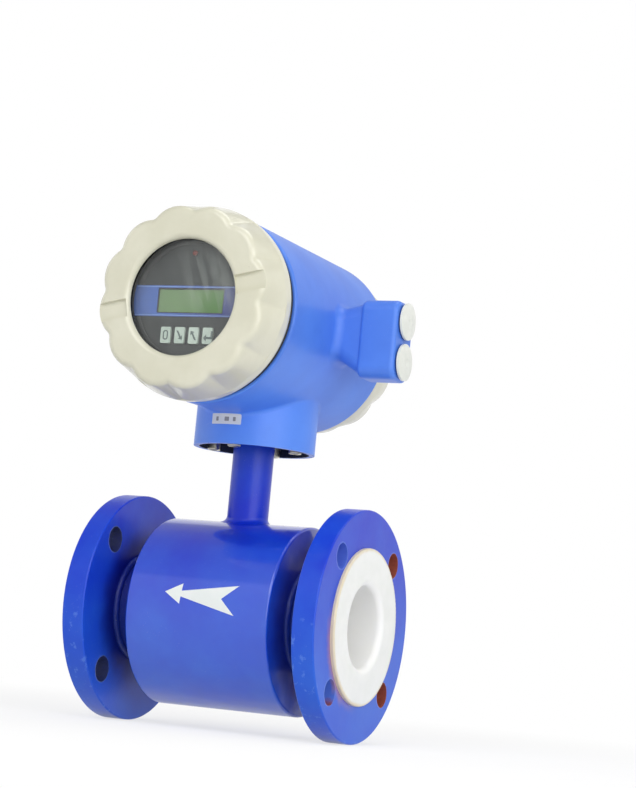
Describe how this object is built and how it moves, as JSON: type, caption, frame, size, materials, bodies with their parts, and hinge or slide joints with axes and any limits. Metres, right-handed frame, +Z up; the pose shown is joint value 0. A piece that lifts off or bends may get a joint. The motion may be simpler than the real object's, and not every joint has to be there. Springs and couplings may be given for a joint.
{
  "type": "electromagnetic flow meter",
  "caption": "Flanged electromagnetic flow meter: lined measuring tube, round sensor casing, short neck and a display head with two scalloped screw covers and blanked cable entries.",
  "frame": {"origin": "on the flow axis, half way between the two liner faces", "axes": "+X along the flow tube, against the flow arrow; the display faces -Y; +Z up through the neck to the head"},
  "size_m": [0.2306, 0.2572, 0.3815],
  "materials": {
    "sensor_blue": "gloss enamel",
    "head_blue": "gloss enamel",
    "cover_cream": "semi-gloss enamel",
    "liner_white": "smooth fluoropolymer",
    "plug_white": "satin moulding",
    "stainless": "turned",
    "screw_steel": "zinc plated",
    "copper": "enamelled wire",
    "core_iron": "plain",
    "rubber": "matt",
    "window_glass": "clear polished",
    "fascia_black": "satin",
    "band_blue": "satin film",
    "lcd_green": "glossy",
    "key_white": "satin",
    "lamp_red": "clear tinted",
    "board_green": "lacquered board",
    "terminal_grey": "moulded"
  },
  "bodies": {
    "meter": {"measuring_tube": "sensor_blue", "liner": "liner_white", "left_flange": "sensor_blue", "right_flange": "sensor_blue", "sensor_shell": "sensor_blue", "left_end_plate": "sensor_blue", "right_end_plate": "sensor_blue", "upper_coil": "copper", "lower_coil": "copper", "upper_pole": "core_iron", "lower_pole": "core_iron", "magnetic_yoke": "core_iron", "front_electrode": "stainless", "rear_electrode": "stainless", "electrode_bushes": "liner_white", "electrode_nuts": "stainless", "neck_tube": "sensor_blue", "neck_flange": "sensor_blue", "neck_gasket": "rubber", "neck_screws": "screw_steel", "neck_washers": "screw_steel", "converter_housing": "head_blue", "upper_blanking_plug": "plug_white", "lower_blanking_plug": "plug_white", "plug_gaskets": "rubber", "display_fascia": "fascia_black", "display_band": "band_blue", "lcd_module": "lcd_green", "key_switches": "fascia_black", "status_lamp": "lamp_red", "display_board": "board_green", "main_board": "board_green", "power_board": "board_green", "board_posts": "screw_steel", "transformer": "core_iron", "terminal_block": "terminal_grey", "terminal_screws": "screw_steel"},
    "front_seal": {"front_seal": "rubber"},
    "front_cover": {"front_cover": "cover_cream", "window_gasket": "rubber", "window_glass": "window_glass", "window_ring": "stainless", "window_ring_screws": "screw_steel"},
    "rear_seal": {"rear_seal": "rubber"},
    "rear_cover": {"rear_cover": "cover_cream"},
    "function_key": {"function_key": "key_white"},
    "down_key": {"down_key": "key_white"},
    "up_key": {"up_key": "key_white"},
    "enter_key": {"enter_key": "key_white"}
  },
  "joints": [
    {"name": "front_cover_travel", "type": "slide", "parent": "meter", "child": "front_seal", "axis": [0, -1, 0], "range_m": [0, 0.012]},
    {"name": "front_cover_turn", "type": "hinge", "parent": "front_seal", "child": "front_cover", "pos_m": [0, -0.1, 0.222], "axis": [0, -1, 0], "range_deg": [0, 2880]},
    {"name": "rear_cover_travel", "type": "slide", "parent": "meter", "child": "rear_seal", "axis": [0, 1, 0], "range_m": [0, 0.012]},
    {"name": "rear_cover_turn", "type": "hinge", "parent": "rear_seal", "child": "rear_cover", "pos_m": [0, 0.078, 0.222], "axis": [0, 1, 0], "range_deg": [0, 2880]},
    {"name": "function_key_press", "type": "slide", "parent": "meter", "child": "function_key", "axis": [0, 1, 0], "range_m": [0, 0.0005], "stiffness_N_per_m": 300},
    {"name": "down_key_press", "type": "slide", "parent": "meter", "child": "down_key", "axis": [0, 1, 0], "range_m": [0, 0.0005], "stiffness_N_per_m": 300},
    {"name": "up_key_press", "type": "slide", "parent": "meter", "child": "up_key", "axis": [0, 1, 0], "range_m": [0, 0.0005], "stiffness_N_per_m": 300},
    {"name": "enter_key_press", "type": "slide", "parent": "meter", "child": "enter_key", "axis": [0, 1, 0], "range_m": [0, 0.0005], "stiffness_N_per_m": 300}
  ],
  "couplings": [
    {"joint": "front_cover_travel", "follows": "front_cover_turn", "m_per_rad": 0.00023873},
    {"joint": "rear_cover_travel", "follows": "rear_cover_turn", "m_per_rad": 0.00023873}
  ]
}
